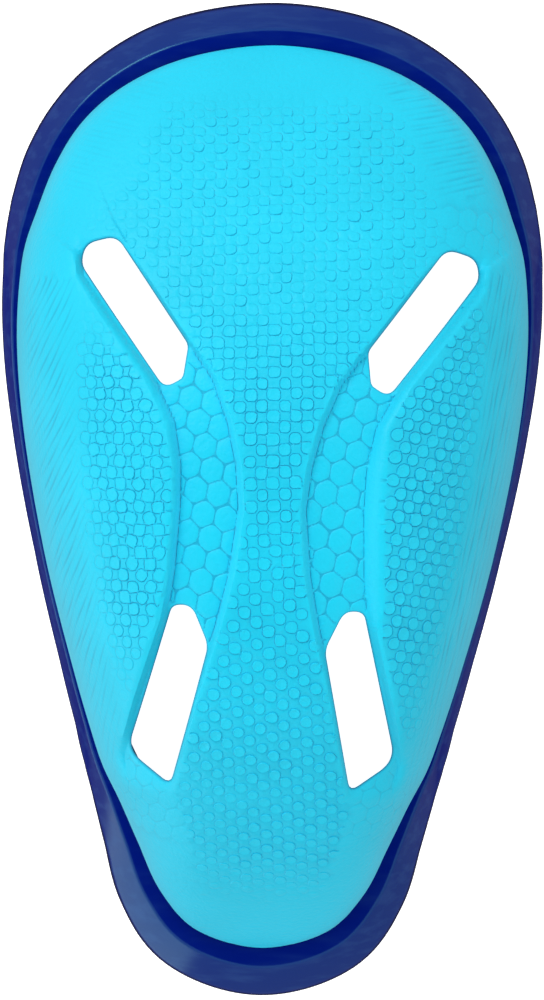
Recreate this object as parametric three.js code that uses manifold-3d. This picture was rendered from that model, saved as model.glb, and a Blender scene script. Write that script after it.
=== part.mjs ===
// Abdominal guard for sport: a deep moulded cup with four vent slots, its edge clamped in a soft rim.
// Millimetres. The guard lies on the back of its rim: +Z points out of the front of the cup,
// +Y to the wide waist end, and the origin is under the middle of the rim, on the resting plane.

import * as THREE from "three";
import { ParametricGeometry } from "three/addons/geometries/ParametricGeometry.js";
import { mergeVertices } from "three/addons/utils/BufferGeometryUtils.js";
import Module from "manifold-3d";

// Driving dimensions

const FIT_GAP = 0.3; // clearance all round the cup's skirt in the rim's groove

const CUP = {
  wall: 3.0, // before the troughs are sunk into the face; the inside is smooth
  edgeZ: 10, // height where the dome meets the rim
  rise: 42, // crest above that edge
  crestY: -12, // where along the guard the crest is highest
  crestPower: 2.3, // how round the crest line is, seen from the side
  sectionPower: 2.8, // how square the cup is, seen from its end
  ledge: 0.6, // the dome overhangs its skirt by this much
  skirtBottomZ: 3.7,
  patternTurnDeg: -1.3, // the slots and panels sit slightly turned in the rim
};

const PANELS = {
  valleyDepth: 1.5, // troughs between the middle panel and the side lobes
  lobeRise: 0.8, // side lobes stand proud of the dome
  wallWidth: 2.6, // width of the slope at a panel's edge
  valleyTopY: 47,
  valleyBottomY: -47,
  lobeTopY: 46,
  lobeBottomY: -48,
  endFade: 5,
  lobeFoot: 14, // over this much of the plan a lobe sinks back to the dome at the cup's edge
};

const RIM = {
  lipZ: CUP.edgeZ - FIT_GAP, // flat lip beside the cup
  lipShare: 0.42, // share of the rim's width that the flat lip takes
  shoulder: { share: 0.82, z: 7.6 },
  bulge: { share: 1, z: 5 },
  heel: { share: 0.96, z: 1.4 },
  footShare: 0.86,
  innerReach: 1.2, // how far the rim reaches inside the cup's wall
  innerTopZ: 6.5,
  innerChamfer: 0.9,
};

const MESH = {
  around: 76,
  faceRings: 30,
  insideRings: 14,
  ringPower: 1.5, // above 1 crowds the rings towards the steep sides
  outlineSamples: 720,
  slopeStep: 0.4,
  mergeDistance: 1e-4,
  leastHalf: 1e-3, // keeps the outline's tips from a division by nothing
};

const COLOURS = { cup: 0x2fd0ee, rim: 0x0b1c86 };

// Half outline of the cup from the waist end to the lower end, with the rim's width outside it

const OUTLINE = [
  { y: 80.0, half: 0.0, rim: 7.5 },
  { y: 77.3, half: 16.5, rim: 7.4 },
  { y: 72.0, half: 27.2, rim: 6.7 },
  { y: 66.0, half: 33.7, rim: 6.1 },
  { y: 58.7, half: 38.1, rim: 5.8 },
  { y: 50.8, half: 41.1, rim: 5.1 },
  { y: 45.0, half: 43.0, rim: 4.0 },
  { y: 39.7, half: 44.0, rim: 3.2 },
  { y: 29.0, half: 44.5, rim: 2.6 },
  { y: 14.0, half: 43.2, rim: 2.2 },
  { y: -8.3, half: 39.2, rim: 1.9 },
  { y: -27.7, half: 34.3, rim: 2.1 },
  { y: -38.4, half: 31.1, rim: 2.5 },
  { y: -44.6, half: 29.0, rim: 3.1 },
  { y: -50.8, half: 25.9, rim: 4.6 },
  { y: -58.3, half: 22.4, rim: 6.1 },
  { y: -67.5, half: 18.1, rim: 7.8 },
  { y: -74.4, half: 11.8, rim: 9.2 },
  { y: -77.8, half: 0.0, rim: 9.7 },
];

// Inner and outer edge of the trough on each side of the middle panel

const VALLEY = [
  { y: 47, inner: 28.0, outer: 34.4 },
  { y: 40, inner: 22.4, outer: 33.2 },
  { y: 30, inner: 14.8, outer: 25.4 },
  { y: 24, inner: 10.3, outer: 20.6 },
  { y: 17, inner: 7.5, outer: 16.8 },
  { y: 10, inner: 5.8, outer: 15.5 },
  { y: 3, inner: 5.1, outer: 15.3 },
  { y: -8, inner: 6.3, outer: 15.8 },
  { y: -16, inner: 8.0, outer: 16.8 },
  { y: -30, inner: 11.7, outer: 20.7 },
  { y: -41, inner: 14.0, outer: 23.2 },
  { y: -47, inner: 15.2, outer: 22.5 },
];

// Corners of the slots on the +X side, each rounded by its own radius

const SLOTS = {
  upper: [
    { x: 28.0, y: 47.0, radius: 2.3 },
    { x: 33.3, y: 45.4, radius: 2.1 },
    { x: 33.9, y: 41.9, radius: 2.2 },
    { x: 18.8, y: 22.3, radius: 1.9 },
    { x: 15.8, y: 24.1, radius: 1.4 },
    { x: 15.1, y: 29.6, radius: 2.1 },
  ],
  lower: [
    { x: 12.9, y: -13.4, radius: 1.5 },
    { x: 16.1, y: -13.8, radius: 1.1 },
    { x: 22.9, y: -40.1, radius: 4.5 },
    { x: 15.3, y: -45.3, radius: 0.8 },
    { x: 9.8, y: -20.2, radius: 2.4 },
  ],
};
const SLOT_CORNER_STEPS = 5;

// Small helpers

const smoothStep = (t) => THREE.MathUtils.smoothstep(t, 0, 1);

// Value of one column of a table whose rows run down in y, straight between rows.
function column(table, name, y) {
  const last = table.length - 1;
  if (y >= table[0].y) return table[0][name];
  if (y <= table[last].y) return table[last][name];
  const i = table.findIndex((row) => row.y < y);
  const share = (table[i - 1].y - y) / (table[i - 1].y - table[i].y);
  return THREE.MathUtils.lerp(table[i - 1][name], table[i][name], share);
}

// Outline of the cup

const rightHalf = OUTLINE.map((row) => new THREE.Vector3(row.half, row.y, 0));
const leftHalf = OUTLINE.slice(1, -1).map((row) => new THREE.Vector3(-row.half, row.y, 0)).reverse();
const outline = new THREE.CatmullRomCurve3([...rightHalf, ...leftHalf], true, "centripetal");
outline.arcLengthDivisions = MESH.outlineSamples;

const halfSamples = outline
  .getSpacedPoints(MESH.outlineSamples)
  .filter((p) => p.x >= 0)
  .map((p) => ({ y: p.y, half: p.x }))
  .sort((a, b) => b.y - a.y);

const topY = OUTLINE[0].y;
const bottomY = OUTLINE[OUTLINE.length - 1].y;

// Point, outward direction and rim width at a share of the way round the outline.
function outlineStation(share) {
  const point = outline.getPointAt(share % 1);
  const along = outline.getTangentAt(share % 1);
  const out = new THREE.Vector3(-along.y, along.x, 0);
  return { point, out, width: column(OUTLINE, "rim", point.y) };
}

// Form of the cup

// Height of the plain dome over a point of the plan.
function domeHeight(x, y) {
  const half = Math.max(column(halfSamples, "half", y), MESH.leastHalf);
  const reach = y > CUP.crestY ? topY - CUP.crestY : CUP.crestY - bottomY;
  const along = Math.min(Math.abs(y - CUP.crestY) / reach, 1);
  const across = Math.min(Math.abs(x) / half, 1);
  const crest = CUP.rise * (1 - along ** CUP.crestPower);
  return CUP.edgeZ + crest * (1 - across ** CUP.sectionPower) ** (1 / CUP.sectionPower);
}

// Outward normal of the plain dome, from heights a short step to each side.
function domeNormal(x, y) {
  const step = MESH.slopeStep;
  const slopeX = (domeHeight(x + step, y) - domeHeight(x - step, y)) / (2 * step);
  const slopeY = (domeHeight(x, y + step) - domeHeight(x, y - step)) / (2 * step);
  return new THREE.Vector3(-slopeX, -slopeY, 1).normalize();
}

// How far the troughs and lobes lift the face off the plain dome.
function panelLift(x, y) {
  const turn = THREE.MathUtils.degToRad(-CUP.patternTurnDeg);
  const across = Math.abs(x * Math.cos(turn) - y * Math.sin(turn));
  const along = x * Math.sin(turn) + y * Math.cos(turn);
  const inner = column(VALLEY, "inner", along);
  const outer = column(VALLEY, "outer", along);
  const pastInner = smoothStep((across - inner) / PANELS.wallWidth + 0.5);
  const pastOuter = smoothStep((across - outer) / PANELS.wallWidth + 0.5);
  const inValley =
    smoothStep((PANELS.valleyTopY - along) / PANELS.endFade) *
    smoothStep((along - PANELS.valleyBottomY) / PANELS.endFade);
  const inLobe =
    smoothStep((PANELS.lobeTopY - along) / PANELS.endFade) *
    smoothStep((along - PANELS.lobeBottomY) / PANELS.endFade);
  const foot = smoothStep((column(halfSamples, "half", y) - Math.abs(x)) / PANELS.lobeFoot);
  const sunk = pastInner * (1 - pastOuter) * inValley;
  return PANELS.lobeRise * pastOuter * inLobe * foot - PANELS.valleyDepth * sunk;
}

// Rows of the cup's wall, from the crown of its face, over the edge and back up inside to the crown.
const ringReach = (share) => 1 - (1 - share) ** MESH.ringPower;
const wallRows = [];
for (let ring = 0; ring <= MESH.faceRings; ring++) {
  wallRows.push({ reach: ringReach(ring / MESH.faceRings), inside: false });
}
wallRows.push({ inset: CUP.ledge, z: CUP.edgeZ });
wallRows.push({ inset: CUP.ledge, z: CUP.skirtBottomZ });
wallRows.push({ inset: CUP.ledge + CUP.wall, z: CUP.skirtBottomZ });
for (let ring = MESH.insideRings; ring >= 0; ring--) {
  wallRows.push({ reach: ringReach(ring / MESH.insideRings), inside: true });
}

// A point of one wall row: on the face or its inner side, or on the skirt below the edge.
function wallPoint(share, row, target) {
  const { point, out } = outlineStation(share);
  if (row.z !== undefined) {
    return target.copy(point).addScaledVector(out, -row.inset).setZ(row.z);
  }
  const x = point.x * row.reach;
  const y = point.y * row.reach;
  const normal = domeNormal(x, y);
  const lift = row.inside ? -CUP.wall : panelLift(x, y);
  return target.set(x, y, domeHeight(x, y)).addScaledVector(normal, lift);
}

const cupBlank = new ParametricGeometry(
  (u, v, target) => wallPoint(u, wallRows[Math.round(v * (wallRows.length - 1))], target),
  MESH.around,
  wallRows.length - 1,
);

// Slots

// Closed outline with each corner rounded by a curve of about its own radius.
function roundedOutline(corners, mirror) {
  const points = corners.map((c) => new THREE.Vector2(mirror * c.x, c.y));
  const shape = new THREE.Shape();
  points.forEach((corner, i) => {
    const before = points[(i + points.length - 1) % points.length].clone().sub(corner).normalize();
    const after = points[(i + 1) % points.length].clone().sub(corner).normalize();
    const half = Math.acos(THREE.MathUtils.clamp(before.dot(after), -1, 1)) / 2;
    const start = corner.clone().addScaledVector(before, corners[i].radius / Math.tan(half));
    const end = corner.clone().addScaledVector(after, corners[i].radius / Math.tan(half));
    if (i === 0) shape.moveTo(start.x, start.y);
    else shape.lineTo(start.x, start.y);
    shape.quadraticCurveTo(corner.x, corner.y, end.x, end.y);
  });
  return shape.closePath();
}

// A straight punch through the cup, turned with the panels.
function slotPunch(corners, mirror) {
  const height = CUP.rise + CUP.edgeZ;
  const shape = roundedOutline(corners, mirror);
  const sweep = { depth: height, bevelEnabled: false, curveSegments: SLOT_CORNER_STEPS };
  const punch = new THREE.ExtrudeGeometry(shape, sweep);
  punch.rotateZ(THREE.MathUtils.degToRad(CUP.patternTurnDeg));
  return punch.translate(0, 0, CUP.edgeZ + CUP.wall);
}

// Solids, joined and cut

const wasm = await Module();
wasm.setup();

// A closed geometry as a solid, with doubled points merged and collapsed triangles left out.
function solidOf(geometry) {
  const bare = new THREE.BufferGeometry().setAttribute("position", geometry.getAttribute("position"));
  if (geometry.index) bare.setIndex(geometry.index);
  const merged = mergeVertices(bare, MESH.mergeDistance);
  const index = merged.index.array;
  const corners = [];
  for (let i = 0; i < index.length; i += 3) {
    const [a, b, c] = [index[i], index[i + 1], index[i + 2]];
    if (a !== b && b !== c && c !== a) corners.push(a, b, c);
  }
  const vertProperties = merged.getAttribute("position").array;
  const triVerts = new Uint32Array(corners);
  return new wasm.Manifold(new wasm.Mesh({ numProp: 3, vertProperties, triVerts }));
}

// A solid's surface as a geometry again.
function geometryOf(solid) {
  const { vertProperties, triVerts } = solid.getMesh();
  const geometry = new THREE.BufferGeometry();
  geometry.setAttribute("position", new THREE.BufferAttribute(vertProperties, 3));
  geometry.setIndex(new THREE.BufferAttribute(triVerts, 1));
  geometry.computeVertexNormals();
  return geometry;
}

let cupSolid = solidOf(cupBlank);
for (const corners of Object.values(SLOTS)) {
  for (const mirror of [1, -1]) {
    cupSolid = cupSolid.subtract(solidOf(slotPunch(corners, mirror)));
  }
}

// Rim

const grooveOuter = -CUP.ledge + FIT_GAP;
const grooveInner = -CUP.ledge - CUP.wall - FIT_GAP;
const grooveFloorZ = CUP.skirtBottomZ - FIT_GAP;
const innerFace = grooveInner - RIM.innerReach;

// Section of the rim as distances out from the cup's outline and heights, for one rim width.
function rimSection(width) {
  return [
    { out: grooveOuter, z: RIM.lipZ },
    { out: RIM.lipShare * width, z: RIM.lipZ },
    { out: RIM.shoulder.share * width, z: RIM.shoulder.z },
    { out: RIM.bulge.share * width, z: RIM.bulge.z },
    { out: RIM.heel.share * width, z: RIM.heel.z },
    { out: RIM.footShare * width, z: 0 },
    { out: innerFace + RIM.innerChamfer, z: 0 },
    { out: innerFace, z: RIM.innerChamfer },
    { out: innerFace, z: RIM.innerTopZ - RIM.innerChamfer },
    { out: innerFace + RIM.innerChamfer, z: RIM.innerTopZ },
    { out: grooveInner, z: RIM.innerTopZ },
    { out: grooveInner, z: grooveFloorZ },
    { out: grooveOuter, z: grooveFloorZ },
  ];
}
const rimRows = rimSection(1).length;

const rimGeometry = new ParametricGeometry(
  (u, v, target) => {
    const { point, out, width } = outlineStation(u);
    const row = rimSection(width)[Math.round(v * rimRows) % rimRows];
    target.copy(point).addScaledVector(out, row.out).setZ(row.z);
  },
  MESH.around,
  rimRows,
);

// Assembly

const cup = new THREE.Mesh(
  geometryOf(cupSolid),
  new THREE.MeshStandardMaterial({ color: COLOURS.cup, roughness: 0.55, metalness: 0 }),
);
cup.name = "cup";

const rim = new THREE.Mesh(
  geometryOf(solidOf(rimGeometry)),
  new THREE.MeshStandardMaterial({ color: COLOURS.rim, roughness: 0.2, metalness: 0 }),
);
rim.name = "rim";

const guard = new THREE.Group();
guard.add(cup, rim);

export default guard;
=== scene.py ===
"""Abdominal guard for sport: a vented moulded cup with a relief face, its edge held in a soft glossy rim.

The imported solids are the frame. Both are replaced here by finely modelled pieces of the same form.
The guard lies on the back of its rim: +Z is out of the cup's face and +Y points to the wide waist end.
Lengths are millimetres until a mesh is finished, and metres from then on.
"""

import logging
import math
from dataclasses import dataclass, field
from enum import Enum
from typing import Any, Iterable

import bmesh
import bpy
import numpy as np
from mathutils import Matrix, Vector
from mathutils.geometry import delaunay_2d_cdt
from mathutils.kdtree import KDTree


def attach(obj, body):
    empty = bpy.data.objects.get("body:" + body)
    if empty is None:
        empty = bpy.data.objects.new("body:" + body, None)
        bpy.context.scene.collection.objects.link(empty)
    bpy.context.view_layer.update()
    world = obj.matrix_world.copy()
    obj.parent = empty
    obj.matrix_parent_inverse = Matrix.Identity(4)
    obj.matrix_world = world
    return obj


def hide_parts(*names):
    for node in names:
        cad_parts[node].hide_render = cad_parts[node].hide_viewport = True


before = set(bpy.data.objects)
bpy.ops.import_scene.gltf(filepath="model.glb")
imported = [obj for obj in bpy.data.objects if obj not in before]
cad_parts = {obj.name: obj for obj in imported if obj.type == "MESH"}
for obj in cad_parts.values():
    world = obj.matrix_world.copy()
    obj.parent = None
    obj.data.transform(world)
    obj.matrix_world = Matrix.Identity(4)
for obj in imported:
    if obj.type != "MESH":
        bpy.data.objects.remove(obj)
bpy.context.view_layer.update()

Numbers = np.ndarray | float

LOG = logging.getLogger("guard")
MM = 0.001
SEED = 41
TINY = 1e-9
# Past the cup's edge on both sides of the unrolled sheet
SHEET_HALF = 110.0


# Small tools

def smooth_step(value: np.ndarray, low: float, high: float) -> np.ndarray:
    """Eases from 0 at low to 1 at high.

    Args:
        value: numbers to ease.
        low: where the result leaves 0.
        high: where the result reaches 1; it may be below low, which turns the ramp round.

    Returns:
        Numbers from 0 to 1.
    """
    share = np.clip((value - low) / (high - low), 0.0, 1.0)
    return share * share * (3.0 - 2.0 * share)


def linear_colour(hex_code: str) -> tuple[float, float, float, float]:
    """Turns an sRGB hex colour into the linear numbers that shaders use.

    Args:
        hex_code: six hex digits after a hash sign.

    Returns:
        Red, green, blue and an alpha of 1.
    """
    parts = [int(hex_code[i:i + 2], 16) / 255.0 for i in (1, 3, 5)]
    red, green, blue = (p / 12.92 if p <= 0.04045 else ((p + 0.055) / 1.055) ** 2.4 for p in parts)
    return red, green, blue, 1.0


def closed_curve(points: np.ndarray, steps: int) -> np.ndarray:
    """Runs a smooth closed curve through points, with knots spaced by the root of their distance.

    Args:
        points: corner points, one row each, in order round the loop.
        steps: curve points for each stretch between two corners.

    Returns:
        Points of the curve, the first one not repeated.
    """
    stretches = []
    for i in range(len(points)):
        a, b, c, d = (points[(i + k) % len(points)] for k in (-1, 0, 1, 2))
        gaps = [math.sqrt(np.linalg.norm(end - start)) for start, end in ((a, b), (b, c), (c, d))]
        t0, t1, t2, t3 = np.concatenate([[0.0], np.cumsum(gaps)])
        t = np.linspace(t1, t2, steps, endpoint=False)[:, None]
        ab = ((t1 - t) * a + (t - t0) * b) / (t1 - t0)
        bc = ((t2 - t) * b + (t - t1) * c) / (t2 - t1)
        cd = ((t3 - t) * c + (t - t2) * d) / (t3 - t2)
        abc = ((t2 - t) * ab + (t - t0) * bc) / (t2 - t0)
        bcd = ((t3 - t) * bc + (t - t1) * cd) / (t3 - t1)
        stretches.append(((t2 - t) * abc + (t - t1) * bcd) / (t2 - t1))
    return np.concatenate(stretches)


def spaced(points: np.ndarray, count: int) -> np.ndarray:
    """Spaces a closed polyline evenly along its length.

    Args:
        points: the polyline, first point not repeated.
        count: how many points to return.

    Returns:
        Evenly spaced points.
    """
    ring = np.vstack([points, points[:1]])
    run = run_length(ring)
    at = np.linspace(0.0, run[-1], count, endpoint=False)
    return np.column_stack([np.interp(at, run, ring[:, k]) for k in range(2)])


def left_of(loop: np.ndarray) -> np.ndarray:
    """Finds the directions to the left of a closed loop's run.

    Args:
        loop: the loop's points in order.

    Returns:
        Unit vectors, a row for each point.
    """
    along = np.roll(loop, -1, axis=0) - np.roll(loop, 1, axis=0)
    left = np.column_stack([-along[:, 1], along[:, 0]])
    return left / np.linalg.norm(left, axis=1, keepdims=True)


def run_length(line: np.ndarray) -> np.ndarray:
    """Distance run along an open polyline, a value for each of its points."""
    return np.concatenate([[0.0], np.cumsum(np.linalg.norm(np.diff(line, axis=0), axis=1))])


def bend(start: np.ndarray, corner: np.ndarray, end: np.ndarray, steps: int) -> np.ndarray:
    """Rounds a corner.

    Args:
        start: where the curve leaves the side before the corner.
        corner: the corner.
        end: where the curve joins the side after the corner.
        steps: how many points to return.

    Returns:
        Points of the curve.
    """
    t = np.linspace(0.0, 1.0, steps)[:, None]
    return (1 - t) ** 2 * start + 2 * t * (1 - t) * corner + t ** 2 * end


def gather(table: np.ndarray, row: np.ndarray, column: np.ndarray) -> np.ndarray:
    """Reads a table between its entries.

    Args:
        table: numbers in rows and columns.
        row: fractional row places.
        column: fractional column places.

    Returns:
        Values blended from the four entries around each place.
    """
    r0 = np.clip(row.astype(int), 0, table.shape[0] - 2)
    c0 = np.clip(column.astype(int), 0, table.shape[1] - 2)
    dr = row - r0
    dc = column - c0
    upper = table[r0, c0] * (1 - dc) + table[r0, c0 + 1] * dc
    lower = table[r0 + 1, c0] * (1 - dc) + table[r0 + 1, c0 + 1] * dc
    return upper * (1 - dr) + lower * dr


def inside_loop(loop: np.ndarray, points: np.ndarray) -> np.ndarray:
    """Tells which points lie inside a closed loop.

    Args:
        loop: the loop's points in order.
        points: places to test.

    Returns:
        True for each place inside.
    """
    near = np.all((points > loop.min(axis=0)) & (points < loop.max(axis=0)), axis=1)
    found = np.zeros(len(points), dtype=bool)
    some = points[near]
    start, end = loop, np.roll(loop, -1, axis=0)
    above = (start[None, :, 1] > some[:, None, 1]) != (end[None, :, 1] > some[:, None, 1])
    rise = np.where(end[:, 1] == start[:, 1], TINY, end[:, 1] - start[:, 1])
    cross_u = start[:, 0] + (some[:, None, 1] - start[:, 1]) / rise * (end - start)[:, 0]
    found[near] = (above & (some[:, None, 0] < cross_u)).sum(axis=1) % 2 == 1
    return found


# Form of the guard

@dataclass(frozen=True)
class OutlineRow:
    """Half width of the cup's edge at one place along the guard, and the rim's width outside it."""

    y: float
    half: float
    rim: float


@dataclass(frozen=True)
class TroughRow:
    """Inner and outer edge of the trough beside the middle panel, at one place along the guard."""

    y: float
    inner: float
    outer: float


@dataclass(frozen=True)
class Corner:
    """A corner of a vent slot and the radius that rounds it."""

    x: float
    y: float
    radius: float


OUTLINE = (
    OutlineRow(80.0, 0.0, 7.5),
    OutlineRow(77.3, 16.5, 7.4),
    OutlineRow(72.0, 27.2, 6.7),
    OutlineRow(66.0, 33.7, 6.1),
    OutlineRow(58.7, 38.1, 5.8),
    OutlineRow(50.8, 41.1, 5.1),
    OutlineRow(45.0, 43.0, 4.0),
    OutlineRow(39.7, 43.8, 3.4),
    OutlineRow(29.0, 44.2, 2.9),
    OutlineRow(14.0, 42.9, 2.5),
    OutlineRow(-8.3, 38.8, 2.3),
    OutlineRow(-27.7, 33.7, 2.7),
    OutlineRow(-38.4, 30.5, 3.1),
    OutlineRow(-44.6, 28.4, 3.7),
    OutlineRow(-50.8, 25.4, 5.1),
    OutlineRow(-58.3, 22.1, 6.4),
    OutlineRow(-67.5, 17.9, 8.0),
    OutlineRow(-74.4, 11.8, 9.2),
    OutlineRow(-77.8, 0.0, 9.7),
)

TROUGH = (
    TroughRow(47.0, 28.0, 34.4),
    TroughRow(40.0, 22.4, 33.2),
    TroughRow(30.0, 14.8, 25.4),
    TroughRow(24.0, 10.3, 20.6),
    TroughRow(17.0, 7.5, 16.8),
    TroughRow(10.0, 5.8, 15.5),
    TroughRow(3.0, 5.1, 15.3),
    TroughRow(-8.0, 6.3, 15.8),
    TroughRow(-16.0, 8.0, 16.8),
    TroughRow(-30.0, 11.7, 20.7),
    TroughRow(-41.0, 14.0, 23.2),
    TroughRow(-47.0, 15.2, 22.5),
)

UPPER_SLOT = (
    Corner(28.0, 47.0, 2.8),
    Corner(33.3, 45.4, 3.1),
    Corner(33.9, 41.9, 3.1),
    Corner(18.8, 22.3, 1.9),
    Corner(15.8, 24.1, 1.4),
    Corner(15.1, 29.6, 2.1),
)

LOWER_SLOT = (
    Corner(12.9, -13.4, 2.6),
    Corner(16.1, -13.8, 1.6),
    Corner(22.9, -40.1, 4.5),
    Corner(15.3, -45.3, 1.1),
    Corner(9.8, -20.2, 4.5),
)


@dataclass
class CupForm:
    """The cup's plan outline, its dome, and the flat sheet that the dome unrolls to.

    A place on the sheet is (u, v): u runs round a cross-section from the crest line, v along the crest line.
    """

    wall: float = 3.0
    edge_z: float = 10.0
    rise: float = 42.0
    crest_y: float = -12.0
    crest_power: float = 2.3
    section_power: float = 2.8
    ledge: float = 0.6
    skirt_bottom_z: float = 3.7
    pattern_turn_deg: float = -1.3
    trough_depth: float = 1.6
    trough_end_y: float = 47.0
    trough_fade: float = 5.0
    panel_wall: float = 1.15
    lobe_wall_middle: float = 1.5
    lobe_wall_ends: float = 1.8
    lobe_wall_right: float = 1.8
    lobe_wall_from_y: float = 9.0
    lobe_wall_to_y: float = 20.0
    lobe_rise: float = 0.9
    lobe_foot: float = 8.0
    lobe_top_y: float = 43.8
    lobe_top_slope: float = 0.58
    lobe_top_fade: float = 0.9
    lobe_bottom_y: float = -43.5
    lobe_bottom_slope: float = -0.3
    lobe_bottom_fade: float = 4.0
    lobe_corner_x: float = 34.0
    sections: int = 401
    arc_steps: int = 201
    least_half: float = 0.05
    curve_steps: int = 40
    outline_points: int = 2400
    outline: np.ndarray = field(init=False)
    rows_y: np.ndarray = field(init=False)
    rows_v: np.ndarray = field(init=False)
    arcs: np.ndarray = field(init=False)
    angles: np.ndarray = field(init=False)
    _half_y: np.ndarray = field(init=False)
    _half_x: np.ndarray = field(init=False)

    def __post_init__(self) -> None:
        """Works out the outline and the tables that unroll the dome."""
        right = [(row.half, row.y) for row in OUTLINE]
        left = [(-row.half, row.y) for row in OUTLINE[-2:0:-1]]
        curve = closed_curve(np.array(right + left), self.curve_steps)
        self.outline = spaced(curve, self.outline_points)
        side = self.outline[self.outline[:, 0] >= 0]
        side = side[np.argsort(side[:, 1])]
        self._half_x, self._half_y = side[:, 0], side[:, 1]
        top, bottom = OUTLINE[0].y, OUTLINE[-1].y
        turn = np.linspace(math.pi, 0.0, self.sections)
        self.rows_y = (top + bottom) / 2 + (top - bottom) / 2 * np.cos(turn)
        crest = self.crest(self.rows_y)
        steps = np.hypot(np.diff(self.rows_y), np.diff(crest))
        self.rows_v = np.concatenate([[0.0], np.cumsum(steps)])
        self.rows_v -= np.interp(0.0, self.rows_y, self.rows_v)
        phi = np.linspace(0.0, math.pi / 2, self.arc_steps)
        x = self.half(self.rows_y)[:, None] * np.sin(phi) ** (2 / self.section_power)
        z = crest[:, None] * np.cos(phi) ** (2 / self.section_power)
        runs = np.cumsum(np.hypot(np.diff(x, axis=1), np.diff(z, axis=1)), axis=1)
        self.arcs = np.hstack([np.zeros((self.sections, 1)), runs])
        shares = np.linspace(0.0, 1.0, self.arc_steps)
        self.angles = np.array([np.interp(shares * arc[-1], arc, phi) for arc in self.arcs])

    def half(self, y: np.ndarray) -> np.ndarray:
        """Half width of the cup's edge at y."""
        return np.maximum(np.interp(y, self._half_y, self._half_x), self.least_half)

    def crest(self, y: np.ndarray) -> np.ndarray:
        """Height of the crest line above the cup's edge.

        Args:
            y: places along the guard.

        Returns:
            Heights, one for each place.
        """
        reach = np.where(y > self.crest_y, OUTLINE[0].y - self.crest_y, self.crest_y - OUTLINE[-1].y)
        along = np.clip(np.abs(y - self.crest_y) / reach, 0.0, 1.0)
        return self.rise * (1.0 - along ** self.crest_power)

    def edge_u(self, v: np.ndarray) -> np.ndarray:
        """Distance from the crest line to the cup's edge at v, round the section."""
        return np.interp(v, self.rows_v, self.arcs[:, -1])

    def to_sheet(self, plan: np.ndarray) -> np.ndarray:
        """Takes places in plan to the unrolled sheet.

        Args:
            plan: x and y, a row for each place.

        Returns:
            u and v, a row for each place.
        """
        y = plan[:, 1]
        row = np.interp(y, self.rows_y, np.arange(self.sections))
        share = np.clip(np.abs(plan[:, 0]) / self.half(y), 0.0, 1.0)
        phi = np.arcsin(share ** (self.section_power / 2))
        u = gather(self.arcs, row, phi / (math.pi / 2) * (self.arc_steps - 1))
        return np.column_stack([np.sign(plan[:, 0]) * u, np.interp(y, self.rows_y, self.rows_v)])

    def surface(self, sheet: np.ndarray) -> np.ndarray:
        """Rolls places on the sheet up on to the plain dome.

        Args:
            sheet: u and v, a row for each place.

        Returns:
            x, y and z, a row for each place.
        """
        y = np.interp(sheet[:, 1], self.rows_v, self.rows_y)
        row = np.interp(y, self.rows_y, np.arange(self.sections))
        edge = np.maximum(self.edge_u(sheet[:, 1]), self.least_half)
        share = np.clip(np.abs(sheet[:, 0]) / edge, 0.0, 1.0)
        phi = gather(self.angles, row, share * (self.arc_steps - 1))
        x = np.sign(sheet[:, 0]) * self.half(y) * np.sin(phi) ** (2 / self.section_power)
        z = self.edge_z + self.crest(y) * np.clip(np.cos(phi), 0.0, 1.0) ** (2 / self.section_power)
        return np.column_stack([x, y, z])

    def normals(self, sheet: np.ndarray, step: float = 0.2) -> np.ndarray:
        """Outward directions of the plain dome, from places a short step to each side.

        Args:
            sheet: u and v, a row for each place.
            step: how far to each side.

        Returns:
            Unit vectors, a row for each place.
        """
        across = self.surface(sheet + [step, 0.0]) - self.surface(sheet - [step, 0.0])
        along = self.surface(sheet + [0.0, step]) - self.surface(sheet - [0.0, step])
        normal = np.cross(across, along)
        return normal / np.maximum(np.linalg.norm(normal, axis=1, keepdims=True), TINY)

    def to_pattern(self, plan: np.ndarray) -> np.ndarray:
        """Turns places in plan into the slots' own slightly turned frame."""
        return plan @ rotation(self.pattern_turn_deg)

    def from_pattern(self, pattern: np.ndarray) -> np.ndarray:
        """Turns places in the slots' own frame back into plan."""
        return pattern @ rotation(-self.pattern_turn_deg)

    def trough_edges(self, along: np.ndarray) -> tuple[np.ndarray, np.ndarray]:
        """Finds the two edges of the troughs.

        Args:
            along: places along the pattern.

        Returns:
            Distances of the inner and of the outer edge from the pattern's middle line.
        """
        y = [row.y for row in reversed(TROUGH)]
        inner = np.interp(along, y, [row.inner for row in reversed(TROUGH)])
        outer = np.interp(along, y, [row.outer for row in reversed(TROUGH)])
        return inner, outer

    def lobe_wall(self, along: np.ndarray, side: np.ndarray) -> np.ndarray:
        """Width of the slope from a trough up on to its lobe.

        Args:
            along: places along the pattern.
            side: below 0 for the left lobe and above 0 for the right one, whose slope is gentler.

        Returns:
            Widths, greater beside the slots than between them.
        """
        ends = smooth_step(np.abs(along), self.lobe_wall_from_y, self.lobe_wall_to_y)
        gentler = np.where(side > 0, self.lobe_wall_right * (1.0 - ends), 0.0)
        return self.lobe_wall_middle + (self.lobe_wall_ends - self.lobe_wall_middle) * ends + gentler

    def lobe_top(self, across: np.ndarray) -> np.ndarray:
        """Where the lobes end towards the waist."""
        return self.lobe_top_y + self.lobe_top_slope * (across - self.lobe_corner_x)

    def in_lobe(self, across: np.ndarray, along: np.ndarray) -> np.ndarray:
        """Tells how much of a lobe's height is left towards its two ends.

        Args:
            across: distances from the pattern's middle line.
            along: places along the pattern.

        Returns:
            Shares from 0 to 1.
        """
        top = self.lobe_top(across)
        bottom = self.lobe_bottom_y + self.lobe_bottom_slope * (across - self.lobe_corner_x)
        share = smooth_step(along, top, top - self.lobe_top_fade)
        return share * smooth_step(along, bottom, bottom + self.lobe_bottom_fade)

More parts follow.
